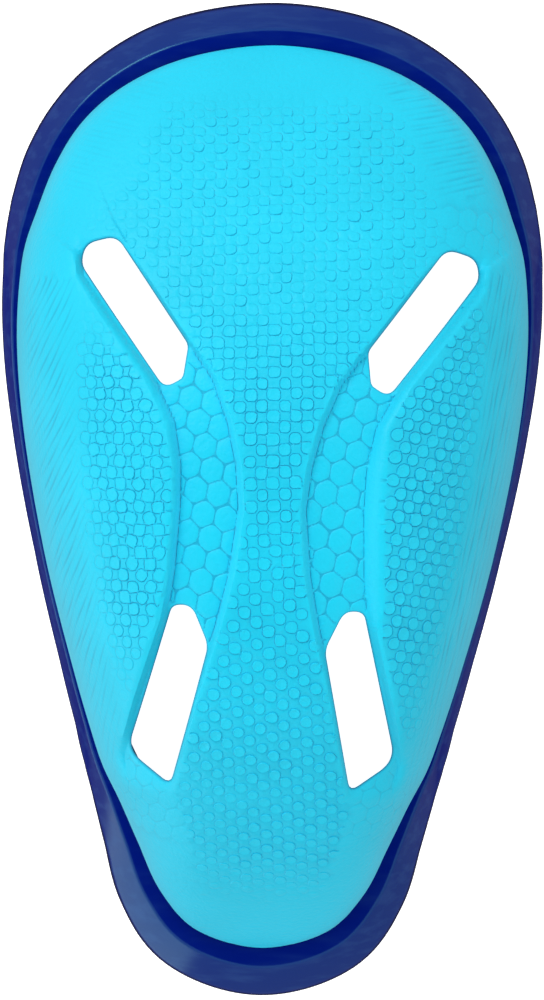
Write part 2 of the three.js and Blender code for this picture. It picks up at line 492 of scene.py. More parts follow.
    def lift(self, plan: np.ndarray) -> np.ndarray:
        """How far the troughs and lobes lift the face straight up off the plain dome.

        Args:
            plan: x and y, a row for each place.

        Returns:
            Heights.
        """
        pattern = self.to_pattern(plan)
        across, along = np.abs(pattern[:, 0]), pattern[:, 1]
        inner, outer = self.trough_edges(along)
        down = np.clip((across - inner) / self.panel_wall + 0.5, 0.0, 1.0)
        up = np.clip((across - outer) / self.lobe_wall(along, pattern[:, 0]), 0.0, 1.0)
        past_inner = 1.0 - np.cos(down * math.pi / 2)
        past_outer = np.sin(up * math.pi / 2)
        in_trough = smooth_step(np.abs(along), self.trough_end_y, self.trough_end_y - self.trough_fade)
        foot = np.clip((self.half(plan[:, 1]) - np.abs(plan[:, 0])) / self.lobe_foot, 0.0, 1.0)
        lobe = self.lobe_rise * past_outer * self.in_lobe(across, along) * foot
        return lobe - self.trough_depth * past_inner * (1.0 - past_outer) * in_trough


def rotation(degrees: float) -> np.ndarray:
    """Matrix that, multiplied from the right, turns rows of x and y clockwise by an angle."""
    angle = math.radians(degrees)
    return np.array([[math.cos(angle), -math.sin(angle)], [math.sin(angle), math.cos(angle)]])


# Vent slots

@dataclass
class VentSlot:
    """One vent slot: a corner table turned into a closed outline in plan."""

    form: CupForm
    corners: tuple[Corner, ...]
    side: int
    spacing: float = 0.55
    corner_steps: int = 9
    reach: float = 6.0
    outline: np.ndarray = field(init=False)
    out: np.ndarray = field(init=False)

    def __post_init__(self) -> None:
        """Rounds the corners, spaces the outline and finds its outward directions."""
        points = np.array([(self.side * c.x, c.y) for c in self.corners])
        bends = []
        for i, corner in enumerate(points):
            before = points[i - 1] - corner
            after = points[(i + 1) % len(points)] - corner
            before /= np.linalg.norm(before)
            after /= np.linalg.norm(after)
            tangent = self.corners[i].radius / math.tan(math.acos(np.clip(before @ after, -1, 1)) / 2)
            bends.append(bend(corner + before * tangent, corner, corner + after * tangent, self.corner_steps))
        loop = np.concatenate(bends)
        length = run_length(np.vstack([loop, loop[:1]]))[-1]
        loop = spaced(loop, round(length / self.spacing))
        area = np.sum(loop[:, 0] * np.roll(loop[:, 1], -1) - np.roll(loop[:, 0], -1) * loop[:, 1])
        loop = loop if area > 0 else loop[::-1]
        self.outline = self.form.from_pattern(loop)
        self.out = -left_of(self.outline)

    def distance(self, plan: np.ndarray) -> np.ndarray:
        """Distance of places from the slot's edge, below 0 inside the slot.

        Args:
            plan: x and y, a row for each place.

        Returns:
            Distances in plan.
        """
        low, high = self.outline.min(axis=0) - self.reach, self.outline.max(axis=0) + self.reach
        near = np.all((plan > low) & (plan < high), axis=1)
        some = plan[near]
        start = self.outline
        step = np.roll(start, -1, axis=0) - start
        offset = some[:, None, :] - start[None, :, :]
        share = np.clip((offset * step).sum(-1) / (step * step).sum(-1), 0.0, 1.0)
        gap = np.linalg.norm(offset - share[..., None] * step, axis=-1).min(axis=1)
        found = np.full(len(plan), self.reach)
        found[near] = np.where(inside_loop(self.outline, some), -gap, gap)
        return found


# Relief of the face

class Relief:
    """Places drawn on the unrolled sheet, each with its height off the face and its depth, which is darkened
    in colour as painted shade in grooves.
    """

    def __init__(self) -> None:
        """Starts with nothing drawn."""
        self.places: list[np.ndarray] = []
        self.heights: list[np.ndarray] = []
        self.grooves: list[np.ndarray] = []

    def add(self, sheet: np.ndarray, height: Numbers, groove: Numbers = 1.0) -> None:
        """Draws places.

        Args:
            sheet: u and v, a row for each place.
            height: height off the face, below 0 in a groove; one for all or one for each place.
            groove: how much of the depth below the face is darkened in colour as painted groove shade.
        """
        heights = np.broadcast_to(height, len(sheet)).astype(float)
        self.places.append(sheet)
        self.heights.append(heights)
        # Painted shade: depth below the face, which the cup's finish turns darker in colour in place of the
        # shade in grooves
        self.grooves.append(np.maximum(-heights, 0.0) * groove)

    def all_places(self) -> np.ndarray:
        """Every place drawn so far."""
        return np.concatenate(self.places)

    def all_heights(self) -> np.ndarray:
        """The heights of every place drawn so far."""
        return np.concatenate(self.heights)

    def all_groove_shades(self) -> np.ndarray:
        """The depths below the face of every place drawn so far, which painted groove shade darkens."""
        return np.concatenate(self.grooves)


class Ground(Enum):
    """What the face is at a place, which decides the relief drawn there."""

    PANEL = 0
    LOBE = 1
    FLANK = 2
    CORNER = 3
    TROUGH = 4
    BARE = 5


@dataclass(frozen=True)
class Fade:
    """A part of the face where the mould's relief grows weaker, from the first to the second of each pair."""

    amount: float
    y: tuple[float, float] | None = None
    x: tuple[float, float] | None = None
    share: tuple[float, float] | None = None

    def keeps(self, x: np.ndarray, y: np.ndarray, share: np.ndarray) -> np.ndarray:
        """Tells how much of the relief is left.

        Args:
            x: places across the face.
            y: places along the face.
            share: distances from the middle as shares of the half width.

        Returns:
            Shares from 0 to 1.
        """
        loss = np.full(len(x), self.amount)
        for places, span in ((y, self.y), (x, self.x), (share, self.share)):
            if span:
                loss *= smooth_step(places, *span)
        return 1.0 - loss


WAIST_END = Fade(1.0, y=(67.0, 73.0))
LOWER_END = Fade(1.0, y=(-57.0, -69.0))
UPPER_LEFT_CORNER = Fade(0.7, y=(30.0, 46.0), x=(-12.0, -34.0))
UPPER_RIGHT_CORNER = Fade(0.5, y=(40.0, 54.0), x=(16.0, 36.0))
LOWER_CORNERS = Fade(0.9, y=(-44.0, -50.0), share=(0.5, 0.72))
LOWER_LEFT = Fade(0.3, y=(-34.0, -44.0), x=(4.0, -10.0))
LEFT_LOBE_LOW = Fade(0.8, y=(-14.0, -30.0))
LEFT_LOBE_TOP = Fade(0.85, y=(26.0, 34.0))
LEFT_LOBE_OUT = Fade(0.6, share=(0.66, 0.77))
RIGHT_LOBE_LOW = Fade(0.45, y=(-16.0, -32.0))
RIGHT_LOBE_OUT = Fade(0.6, share=(0.7, 0.82))
LOWER_TROUGH = Fade(0.6, y=(-20.0, -40.0))
UPPER_TROUGH = Fade(1.0, y=(36.0, 41.0))
LOWER_PLATES = Fade(1.0, y=(-50.0, -60.0))
CORNER_PLATES = Fade(0.72)
LEFT_FLANK_START = Fade(1.0, share=(0.82, 0.74))
RIGHT_FLANK_START = Fade(1.0, share=(0.85, 0.78))
WAIST_FLANK_START = Fade(1.0, share=(0.76, 0.66))
FLANK_EDGE = Fade(1.0, share=(0.9, 0.985))
FLANK_LOW = Fade(0.7, y=(-16.0, -40.0))


@dataclass
class FaceMap:
    """Tells what the face is at places on it."""

    form: CupForm
    slots: list[VentSlot]
    panel_margin: float = 0.45
    lobe_margin: float = 2.2
    trough_margin: float = 0.55
    edge_margin: float = 1.6
    end_margin: float = 4.0
    lobe_full: float = 0.9
    flank_left: float = 0.755
    flank_right: float = 0.8
    flank_waist: float = 0.64
    waist_from_y: float = 55.0
    lower_corner: tuple[float, float] = (-46.0, 0.55)
    upper_corner: tuple[float, float] = (44.0, 28.0)

    def slot_distance(self, plan: np.ndarray) -> np.ndarray:
        """Distance of places from the nearest slot, below 0 inside one."""
        return np.min([slot.distance(plan) for slot in self.slots], axis=0)

    def ground(self, sheet: np.ndarray) -> np.ndarray:
        """Finds the ground at places on the sheet.

        Args:
            sheet: u and v, a row for each place.

        Returns:
            Values of Ground, one for each place.
        """
        form = self.form
        plan = form.surface(sheet)[:, :2]
        pattern = form.to_pattern(plan)
        across, along = np.abs(pattern[:, 0]), pattern[:, 1]
        inner, outer = form.trough_edges(along)
        lobe_from = outer + form.lobe_wall(along, pattern[:, 0])
        gap = self.slot_distance(plan)
        share = np.abs(plan[:, 0]) / form.half(plan[:, 1])
        lobe = (across > lobe_from) & (form.in_lobe(across, along) > self.lobe_full)
        found = np.where(lobe, Ground.LOBE.value, Ground.PANEL.value)
        waist = plan[:, 1] > self.waist_from_y
        flank_from = np.where(plan[:, 0] < 0, self.flank_left, self.flank_right)
        flank_from = np.where(waist, self.flank_waist, flank_from)
        found = np.where(share > flank_from, Ground.FLANK.value, found)
        corner = (plan[:, 1] > self.upper_corner[0]) & (plan[:, 0] > self.upper_corner[1]) & ~waist & ~lobe
        corner |= (plan[:, 1] < self.lower_corner[0]) & (share > self.lower_corner[1])
        found = np.where(corner, Ground.CORNER.value, found)
        beside = np.abs(along) < form.trough_end_y
        walls = beside & (across > inner - form.panel_wall / 2) & (across < lobe_from)
        margin = np.where(lobe, self.lobe_margin, self.panel_margin)
        found = np.where(walls | (gap < margin), Ground.BARE.value, found)
        floor = beside & (across > inner + form.panel_wall / 2) & (across < outer)
        found = np.where(floor & (gap > self.trough_margin), Ground.TROUGH.value, found)
        edge_gap = form.edge_u(sheet[:, 1]) - np.abs(sheet[:, 0])
        end_gap = np.minimum(sheet[:, 1] - form.rows_v[0], form.rows_v[-1] - sheet[:, 1])
        bare = (edge_gap < self.edge_margin) | (end_gap < self.end_margin)
        return np.where(bare, Ground.BARE.value, found)

    def strength(self, sheet: np.ndarray, fades: tuple[Fade, ...]) -> np.ndarray:
        """How strongly the mould's relief shows at places.

        Args:
            sheet: u and v, a row for each place.
            fades: what weakens it.

        Returns:
            Shares of the full relief height, from 0 to 1.
        """
        x, y = self.form.surface(sheet)[:, :2].T
        share = np.abs(x) / self.form.half(y)
        return np.prod([np.ones(len(x)), *(fade.keeps(x, y, share) for fade in fades)], axis=0)


def chequer(pitch: tuple[float, float], reach: int = 62) -> np.ndarray:
    """Every second site of a lattice, like the squares of one colour on a chequerboard.

    Args:
        pitch: spacing of the columns and of the rows.
        reach: how many columns and rows to each side of the middle.

    Returns:
        Places, a row each.
    """
    span = np.arange(-reach, reach + 1)
    columns, rows = (grid.ravel() for grid in np.meshgrid(span, span))
    sites = np.column_stack([columns * pitch[0], rows * pitch[1]])
    return sites[(columns + rows) % 2 == 0]


@dataclass
class DiscRelief:
    """Round to squarish moulded discs, each inside a fine groove, laid like one colour of a chequerboard.

    Towards the waist end of the middle panel the discs lean over and become scales. The fields that start
    with low tell how discs at the lower end differ: taller, and in grooves less deep and less darkened by
    painted shade.
    """

    ground: Ground
    pitch: tuple[float, float]
    fades: tuple[Fade, ...]
    side: int = 0
    rise_upper: float = 0.06
    rise_lower: float = 0.06
    rise_span: tuple[float, float] = (8.0, -18.0)
    column_lean: float = 0.0
    lean_below: float = 100.0
    lean_over: tuple[float, float] | None = None
    lean_keep: float = 0.28
    lean_height: float = 0.72
    lean_turn: float = 0.6
    low_gain: float = 0.0
    low_shade: float = 1.0
    low_fill: float = 0.0
    radius: float = 1.04
    square_upper: float = 3.4
    square_lower: float = 2.1
    square_span: tuple[float, float] = (0.0, -24.0)
    spin: float = 0.1
    size_range: tuple[float, float] = (0.92, 1.05)
    apron_reach: float = 1.08
    edge_reach: float = 0.88
    crown_reach: float = 0.45
    apron: float = -0.02
    groove: float = -0.11
    edge: float = 0.11
    crown: float = 0.075
    crown_range: tuple[float, float] = (0.8, 1.2)
    dimple: float = 0.06
    wobble: float = 0.025
    uneven: float = 0.2
    uneven_lean: float = 0.12
    jitter: float = 0.05
    jitter_lean: float = 0.7
    least_show: float = 0.08
    ring_points: int = 12

    def draw(self, relief: Relief, face: FaceMap, chance: np.random.Generator) -> int:
        """Draws every disc, cut off where patterned ground ends.

        Args:
            relief: what they are drawn on.
            face: tells where they go.
            chance: seeded source of their small differences.

        Returns:
            How many discs were drawn.
        """
        sites = chequer(self.pitch)
        sites = sites[sites[:, 0] * self.side >= 0]
        u, v = sites.T
        low = smooth_step(v, *self.rise_span)
        rise = self.rise_upper + (self.rise_lower - self.rise_upper) * low
        sites = np.column_stack([u + self.column_lean * np.minimum(v - self.lean_below, 0.0), v + rise * u])
        loose = 1.0 + self.jitter_lean * self._leaning(v)
        sites += chance.normal(0.0, self.jitter, sites.shape) * loose[:, None]
        show = face.strength(sites, self.fades)
        wanted = (face.ground(sites) == self.ground.value) & (show > self.least_show)
        sites, show = sites[wanted], show[wanted]
        count = len(sites)
        size = self.radius * chance.uniform(*self.size_range, count)
        spin = chance.uniform(-self.spin, self.spin, count)
        round_low = smooth_step(sites[:, 1], *self.square_span)
        power = self.square_upper + (self.square_lower - self.square_upper) * round_low
        phase = chance.uniform(0.0, 2 * math.pi, (2, count, 1))
        # Painted shade: share of each groove's depth that darkens its colour, less at the lower end
        shade_share = 1.0 - (1.0 - self.low_shade) * round_low
        over = self._leaning(sites[:, 1])
        tall = 1.0 + chance.uniform(-1.0, 1.0, count) * (self.uneven + self.uneven_lean * over)
        tall *= (1.0 + self.low_gain * round_low) * (1.0 - (1.0 - self.lean_height) * over)
        crown = self.crown * chance.uniform(*self.crown_range, count)
        rings = (
            (self.apron_reach, self.apron * (1.0 - over), self.ring_points),
            (1.0, self.groove * (1.0 - self.low_fill * round_low), self.ring_points),
            (self.edge_reach, np.full(count, self.edge), self.ring_points),
            (self.crown_reach, crown, self.ring_points // 2),
        )
        for reach, level, points in rings:
            turn = np.linspace(0.0, 2 * math.pi, points, endpoint=False)[None, :]
            exponent = power[:, None]
            shape = np.abs(np.cos(turn)) ** exponent + np.abs(np.sin(turn)) ** exponent
            shape = shape ** (-1.0 / exponent)
            uneven = np.cos(2 * turn + phase[0]) + np.cos(3 * turn + phase[1])
            uneven = uneven * self.wobble * (1.0 + over[:, None])
            radius = reach * size[:, None] * shape * (1.0 + uneven)
            angle = turn + spin[:, None]
            offset = np.stack([np.cos(angle), np.sin(angle)], axis=-1) * radius[..., None]
            places = (sites[:, None, :] + offset).reshape(-1, 2)
            lean = 0.5 + 0.5 * np.sin(angle - self.lean_turn)
            upright = 1.0 - (1.0 - self.lean_keep) * over[:, None] * lean
            levels = (level * show * tall)[:, None] * upright
            keep = face.ground(places) < Ground.CORNER.value
            relief.add(places[keep], levels.ravel()[keep], groove=np.repeat(shade_share, points)[keep])
        middle = crown * (1.0 - over / 2) - self.dimple * chance.uniform(0.0, 1.0, count) * (1.0 - over)
        relief.add(sites, middle * show * tall)
        return count

    def _leaning(self, v: np.ndarray) -> np.ndarray:
        """How far discs lean over, from 0 to 1, at places along the sheet."""
        return smooth_step(v, *self.lean_over) if self.lean_over else np.zeros(len(v))


@dataclass
class StreakRelief:
    """Soft slanting grooves on the flanks, where the pattern was drawn out of the mould.

    They are straight in plan but for a slight sway and, below a place, a bend towards the lower end.
    """

    side: int
    slope_deg: float
    spacing: float
    strength: float
    fades: tuple[Fade, ...]
    reach_y: tuple[float, float]
    step: float = 0.5
    half: float = 0.24
    least: float = 0.7
    depth: float = 0.12
    sway: float = 0.1
    sway_length: float = 13.0
    pulse: float = 0.35
    pulse_rate: float = 1.5
    shift: float = 0.25
    line_reach: float = 150.0
    longest: float = 45.0
    bend: float = 0.0
    bend_below: float = 8.0

    def draw(self, relief: Relief, face: FaceMap, chance: np.random.Generator) -> int:
        """Draws every groove, cut off where the flank ends.

        Args:
            relief: what they are drawn on.
            face: tells where they go.
            chance: seeded source of their small differences.

        Returns:
            How many grooves were drawn.
        """
        slope = math.radians(self.slope_deg)
        forward = np.array([self.side * math.cos(slope), math.sin(slope)])
        across = np.array([-forward[1], forward[0]]) * self.side
        lines = np.arange(-self.line_reach, self.line_reach, self.spacing)
        reach = self.longest / math.cos(slope)
        run = np.arange(-reach, reach, self.step)
        lines += chance.uniform(-self.shift, self.shift, len(lines)) * self.spacing
        turns = run / self.sway_length * 2 * math.pi
        for line in lines:
            phase, start = chance.uniform(0.0, 2 * math.pi, 2)
            sway = self.sway * np.sin(turns + phase)
            middle = run[:, None] * forward + (line + sway)[:, None] * across
            middle[:, 0] -= self.side * self.bend * np.minimum(middle[:, 1] - self.bend_below, 0.0) ** 2
            come_and_go = 1.0 - self.pulse + self.pulse * np.sin(turns * self.pulse_rate + start)
            depth = self.depth * self.strength * chance.uniform(self.least, 1.0) * come_and_go
            inside = (middle[:, 1] > self.reach_y[0]) & (middle[:, 1] < self.reach_y[1])
            inside &= middle[:, 0] * self.side > 0
            for shift, share in ((-self.half, 0.0), (0.0, -1.0), (self.half, 0.0)):
                sheet = face.form.to_sheet(middle[inside] + shift * across)
                keep = face.ground(sheet) == Ground.FLANK.value
                sheet = sheet[keep]
                # Painted shade: each streak's depth also darkens its colour
                relief.add(sheet, share * depth[inside][keep] * face.strength(sheet, self.fades))
        return len(lines)


@dataclass
class PlateRelief:
    """Six-sided plates with narrow grooves between them, on the troughs' floors and faintly in corners."""

    ground: Ground
    fades: tuple[Fade, ...]
    pitch: float = 3.88
    stretch: float = 1.107
    turn_deg: float = -10.4
    reach: int = 16
    shift: float = 0.08
    size_range: tuple[float, float] = (0.98, 1.0)
    groove_half: float = 0.02
    bevel: float = 0.08
    slope: float = 0.24
    groove: float = -0.09
    crown: float = 0.05
    corner_cut: float = 1.085
    ring_points: int = 24

    def draw(self, relief: Relief, face: FaceMap, chance: np.random.Generator) -> int:
        """Draws every plate, cut off where the trough ends.

        Args:
            relief: what they are drawn on.
            face: tells where they go.
            chance: seeded source of their small differences.

        Returns:
            How many plates were started.
        """
        span = np.arange(-self.reach, self.reach + 1)
        a, b = (grid.ravel() for grid in np.meshgrid(span, span))
        step_a = np.array([1.0, 0.0]) * self.pitch
        step_b = np.array([math.cos(math.pi / 3), math.sin(math.pi / 3)]) * self.pitch
        centres = a[:, None] * step_a + b[:, None] * step_b
        centres += chance.uniform(-self.shift, self.shift, centres.shape)
        apothem = self.pitch / 2 * chance.uniform(*self.size_range, len(centres))
        angle = np.linspace(0.0, 2 * math.pi, self.ring_points, endpoint=False)
        to_side = (angle + math.pi / 6) % (math.pi / 3) - math.pi / 6
        shape = np.minimum(1.0 / np.cos(to_side), self.corner_cut)
        unit = np.column_stack([np.cos(angle), np.sin(angle)]) * shape[:, None]
        rings = (
            (self.groove_half, self.groove),
            (self.groove_half + self.bevel, 0.0),
            (self.groove_half + self.slope, self.crown),
        )
        turned = rotation(self.turn_deg).T
        for inset, level in rings:
            places = centres[:, None, :] + unit[None] * (apothem[:, None, None] - inset)
            self._keep(relief, face, places.reshape(-1, 2) * [1.0, self.stretch] @ turned, level)
        self._keep(relief, face, centres * [1.0, self.stretch] @ turned, self.crown)
        return len(centres)

    def _keep(self, relief: Relief, face: FaceMap, sheet: np.ndarray, level: float) -> None:
        """Draws only those places that lie on the plates' ground."""
        sheet = sheet[face.ground(sheet) == self.ground.value]
        # Painted shade: the grooves between plates are darkened in colour by their depth
        relief.add(sheet, level * face.strength(sheet, self.fades))


@dataclass
class EdgeRelief:
    """Rows of places that carry the rounded slot edges, the panel walls and the plain ground."""

    slot_lip: tuple[tuple[float, float], ...] = ((0.12, -0.14), (0.35, -0.03), (0.7, 0.0))
    # Painted shade: share of each lip row's depth that darkens its colour
    lip_shade: tuple[float, ...] = (0.5, 0.0, 0.0)
    slot_drop: float = 0.35
    wall_step: float = 0.7
    panel_rows: tuple[float, ...] = (-0.65, -0.45, -0.1, 0.2, 0.42)
    lobe_rows: tuple[float, ...] = (0.12, 0.35, 0.65, 1.0)
    top_rows: tuple[float, ...] = (-0.3, 0.0, 0.25, 0.5, 0.75, 1.0, 1.3)
    # Creases are real shallow grooves, and their depth also darkens their colour as painted shade
    crease: tuple[tuple[float, float], ...] = ((-0.09, 0.0), (0.0, -0.11), (0.09, 0.0))
    crease_y: tuple[float, float] = (-34.0, 38.0)
    top_crease: tuple[tuple[float, float], ...] = ((-0.16, 0.0), (0.0, -0.2), (0.16, 0.0))
    top_crease_left: float = 0.4
    corner_fold: tuple[tuple[float, float], ...] = ((-0.4, 0.0), (0.0, -0.16), (0.4, 0.0))
    # Painted shade: share of the corner fold's depth that darkens its colour
    corner_fold_shade: float = 0.3
    corner_step: float = 0.35
    corner_crease: tuple[tuple[float, float], ...] = (
        (-25.2, 46.6),
        (-27.5, 50.2),
        (-29.5, 54.4),
        (-31.8, 60.3),
    )
    top_reach: float = 43.8
    slot_clear: float = 0.2
    edge_rows: tuple[float, ...] = (0.4, 1.0, 1.7)
    edge_least: float = 6.0
    ground_step: float = 1.2
    ground_clear: float = 0.55
    ground_reach: float = 1.5

    def draw_walls(self, relief: Relief, face: FaceMap) -> None:
        """Draws rows along the two sides of each trough and over the lobes' upper ends.

        Args:
            relief: what they are drawn on.
            face: tells where the slots and the edge are, which the rows keep clear of.
        """
        form = face.form
        along = np.arange(-form.trough_end_y, form.trough_end_y, self.wall_step)
        inner, outer = form.trough_edges(along)
        across = np.arange(form.lobe_corner_x, self.top_reach, self.wall_step)
        for side in (-1, 1):
            wall = form.lobe_wall(along, np.full(len(along), side))
            flat, flat_top = np.zeros(len(along)), np.zeros(len(across))
            rows = [(inner + share * form.panel_wall, along, flat) for share in self.panel_rows]
            rows += [(outer + share * wall, along, flat) for share in self.lobe_rows]
            for share in self.top_rows:
                rows.append((across, form.lobe_top(across) - share * form.lobe_top_fade, flat_top))
            shown = (along > self.crease_y[0]) & (along < self.crease_y[1])
            for shift, level in self.crease:
                rows.append((inner + form.panel_wall / 2 + shift, along, level * shown))
                rows.append((outer + shift, along, level * shown))
            for shift, level in self.top_crease:
                level = level if side > 0 else level * self.top_crease_left
                rows.append((across, form.lobe_top(across) + shift, flat_top + level))
            for row_across, row_along, level in rows:
                plan = form.from_pattern(np.column_stack([side * row_across, row_along]))
                clear = face.slot_distance(plan) > self.slot_lip[-1][0] + self.slot_clear
                clear &= form.half(plan[:, 1]) - np.abs(plan[:, 0]) > self.edge_rows[-1]
                relief.add(form.to_sheet(plan[clear]), level[clear])

    def draw_corner_crease(self, relief: Relief, face: FaceMap) -> None:
        """Draws the crease that runs on from the upper left slot towards the rim and fades out.

        Args:
            relief: what it is drawn on.
            face: holds the form that it runs on.
        """
        places = np.array(self.corner_crease)
        run = run_length(places)
        at = np.arange(0.0, run[-1], self.corner_step)
        line = np.column_stack([np.interp(at, run, places[:, k]) for k in range(2)])
        along = np.gradient(line, axis=0)
        across = np.column_stack([-along[:, 1], along[:, 0]]) / np.linalg.norm(along, axis=1, keepdims=True)
        for shift, level in self.corner_fold:
            sheet = face.form.to_sheet(line + across * shift)
            relief.add(sheet, level * (1.0 - at / run[-1]), groove=self.corner_fold_shade)

    def draw_slot_lips(self, relief: Relief, face: FaceMap) -> None:
        """Draws the rounded lips round the slots.

        Args:
            relief: what they are drawn on.
            face: holds the slots.
        """
        for slot in face.slots:
            for (reach, level), shade_share in zip(self.slot_lip, self.lip_shade):
                relief.add(face.form.to_sheet(slot.outline + slot.out * reach), level, groove=shade_share)

    def draw_ground(self, relief: Relief, face: FaceMap, edge: np.ndarray) -> None:
        """Fills what is left with evenly spread places, close to level with what is drawn nearest.

        Args:
            relief: what they are drawn on; what it holds already is kept clear of.
            face: tells where the slots are.
            edge: the cup's edge on the sheet.
        """
        form = face.form
        reach = np.maximum(form.edge_u(edge[:, 1]), form.least_half)
        for inset in self.edge_rows:
            inner = edge * np.column_stack([np.maximum(1.0 - inset / reach, 0.0), np.ones(len(edge))])
            relief.add(inner[reach > self.edge_least], 0.0)
        taken = relief.all_places()
        tree = KDTree(len(taken))
        for i, (u, v) in enumerate(taken):
            tree.insert((u, v, 0.0), i)
        tree.balance()
        u = np.arange(-SHEET_HALF, SHEET_HALF, self.ground_step)
        v = np.arange(form.rows_v[0], form.rows_v[-1], self.ground_step * math.sqrt(3) / 2)
        grid_u, grid_v = np.meshgrid(u, v)
        grid_u[1::2] += self.ground_step / 2
        sheet = np.column_stack([grid_u.ravel(), grid_v.ravel()])
        sheet = sheet[form.edge_u(sheet[:, 1]) - np.abs(sheet[:, 0]) > self.ground_clear]
        sheet = sheet[face.slot_distance(form.surface(sheet)[:, :2]) > self.ground_clear]
        nearest = [tree.find((u, v, 0.0))[1:] for u, v in sheet]
        index = np.array([found[0] for found in nearest])
        gap = np.array([found[1] for found in nearest])
        height = relief.all_heights()[index] * np.clip(1.0 - gap / self.ground_reach, 0.0, 1.0)
        clear = gap > self.ground_clear
        # Painted shade follows these inherited heights wherever they sit below the face
        relief.add(sheet[clear], height[clear])


def face_patterns() -> tuple[PlateRelief | DiscRelief | StreakRelief, ...]:
    """Lists the patterns of the face in the order in which they are drawn.

    Returns:
        Plates in the troughs and corners, discs on the panel and the lobes, and streaks on the flanks.
    """
    panel_fades = (WAIST_END, LOWER_END, UPPER_LEFT_CORNER, UPPER_RIGHT_CORNER, LOWER_CORNERS, LOWER_LEFT)
    panel = DiscRelief(
        ground=Ground.PANEL,
        pitch=(1.89, 1.87),
        fades=panel_fades,
        rise_lower=0.19,
        column_lean=-0.06,
        lean_below=10.0,
        lean_over=(20.0, 46.0),
        low_gain=0.45,
        low_shade=0.7,
        low_fill=0.5,
    )
    left_lobe = DiscRelief(
        ground=Ground.LOBE,
        pitch=(1.64, 1.9),
        fades=(LEFT_LOBE_LOW, LEFT_LOBE_TOP, LEFT_LOBE_OUT),
        side=-1,
        rise_upper=0.03,
        rise_lower=0.03,
        column_lean=-0.04,
        radius=1.1,
        apron=-0.012,
        spin=0.7,
    )
    right_lobe = DiscRelief(
        ground=Ground.LOBE,
        pitch=(1.6, 1.92),
        fades=(RIGHT_LOBE_LOW, RIGHT_LOBE_OUT),
        side=1,
        rise_upper=-0.19,
        rise_lower=-0.19,
        column_lean=0.08,
        radius=1.12,
        apron=-0.026,
        edge=0.16,
        crown=0.09,
        square_upper=2.1,
    )
    left_flank = StreakRelief(
        side=-1,
        slope_deg=-65.0,
        spacing=1.0,
        strength=0.75,
        fades=(LEFT_FLANK_START, FLANK_EDGE, FLANK_LOW),
        reach_y=(-46.0, 40.0),
        bend=0.0035,
    )
    right_flank = StreakRelief(
        side=1,
        slope_deg=79.0,
        spacing=0.95,
        strength=0.75,
        fades=(RIGHT_FLANK_START, FLANK_EDGE, FLANK_LOW),
        reach_y=(-46.0, 42.0),
        half=0.22,
    )
    waist_flanks = [
        StreakRelief(
            side=side,
            slope_deg=11.0,
            spacing=1.0,
            strength=strength,
            fades=(WAIST_FLANK_START, FLANK_EDGE),
            reach_y=(54.0, 74.0),
            half=0.34,
            least=0.75,
        )
        for side, strength in ((1, 0.55), (-1, 0.12))
    ]
    return (
        PlateRelief(Ground.TROUGH, (LOWER_TROUGH, UPPER_TROUGH)),
        PlateRelief(Ground.CORNER, (CORNER_PLATES, LOWER_PLATES, WAIST_END, FLANK_EDGE)),
        panel,
        left_lobe,
        right_lobe,
        left_flank,
        right_flank,
        *waist_flanks,
    )


# Meshes

def new_object(name: str, bm: bmesh.types.BMesh, sharp_deg: float = 180.0) -> bpy.types.Object:
    """Makes a smooth-shaded object of a finished bmesh in millimetres.

    Args:
        name: the piece's name.
        bm: its shape; it is freed.
        sharp_deg: edges that bend by more than this are shaded sharp.

    Returns:
        The object, linked to the scene, in metres.
    """
    bmesh.ops.scale(bm, vec=(MM, MM, MM), verts=bm.verts)
    mesh = bpy.data.meshes.new(name)
    bm.to_mesh(mesh)
    bm.free()
    mesh.shade_smooth()
    mesh.set_sharp_from_angle(angle=math.radians(sharp_deg))
    piece = bpy.data.objects.new(name, mesh)
    bpy.context.scene.collection.objects.link(piece)
    return piece


def boundary_loops(bm: bmesh.types.BMesh) -> list[list[bmesh.types.BMEdge]]:
    """Groups the open edges of a bmesh into loops.

    Args:
        bm: the shape.

    Returns:
        A list of edges for each loop.
    """
    left = {edge for edge in bm.edges if edge.is_boundary}
    loops = []
    while left:
        edge = left.pop()
        loop, ends = [edge], list(edge.verts)
        while ends:
            vert = ends.pop()
            for other in vert.link_edges:
                if other in left:
                    left.remove(other)
                    loop.append(other)
                    ends.append(other.other_vert(vert))
        loops.append(loop)
    return loops


def loop_middle(loop: list[bmesh.types.BMEdge]) -> Vector:
    """Mean place of a loop's edges, in plan."""
    middle = sum((v.co for edge in loop for v in edge.verts), Vector()) / (2 * len(loop))
    return Vector((middle.x, middle.y, 0.0))


